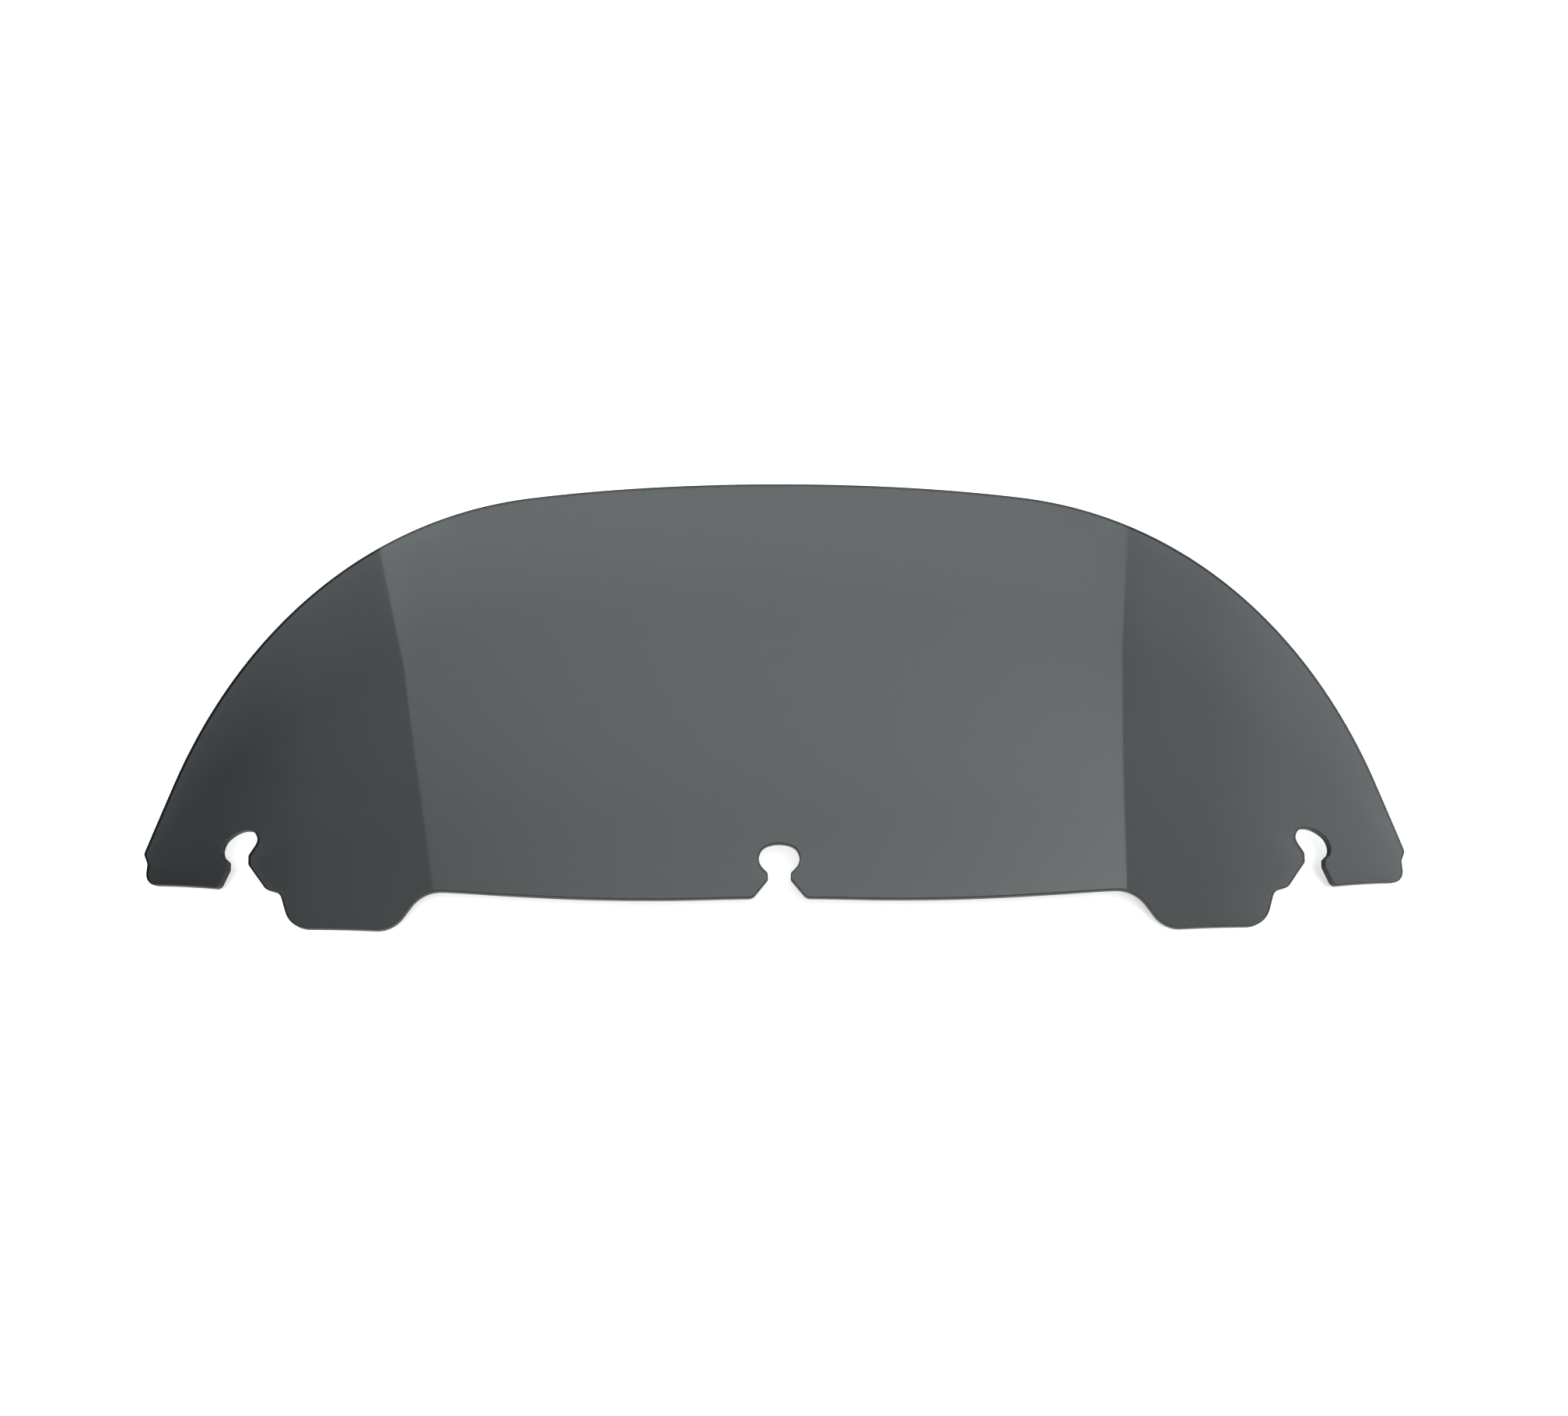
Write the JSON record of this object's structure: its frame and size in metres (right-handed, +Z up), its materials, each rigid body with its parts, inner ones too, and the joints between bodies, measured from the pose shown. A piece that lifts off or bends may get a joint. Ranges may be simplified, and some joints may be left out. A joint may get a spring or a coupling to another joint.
{
  "type": "windshield screen",
  "caption": "Short smoked motorcycle fairing windshield: a bent plastic sheet with swept-down tips, foot tabs and open keyholes along its lower edge.",
  "frame": {"origin": "middle of the screen's bounding box in X and Y, on the flat surface that its two tabs and two tips stand on", "axes": "+X across the screen, +Y from the convex front face towards the hollow back, +Z up; the screen leans back 36.6 degrees with its top towards +Y"},
  "size_m": [0.5695, 0.1188, 0.1784],
  "materials": {
    "smoked_sheet": "dark smoke tint, see-through, polished glossy on both faces and on the cut edges"
  },
  "bodies": {
    "root": {"screen": "smoked_sheet"}
  },
  "joints": []
}
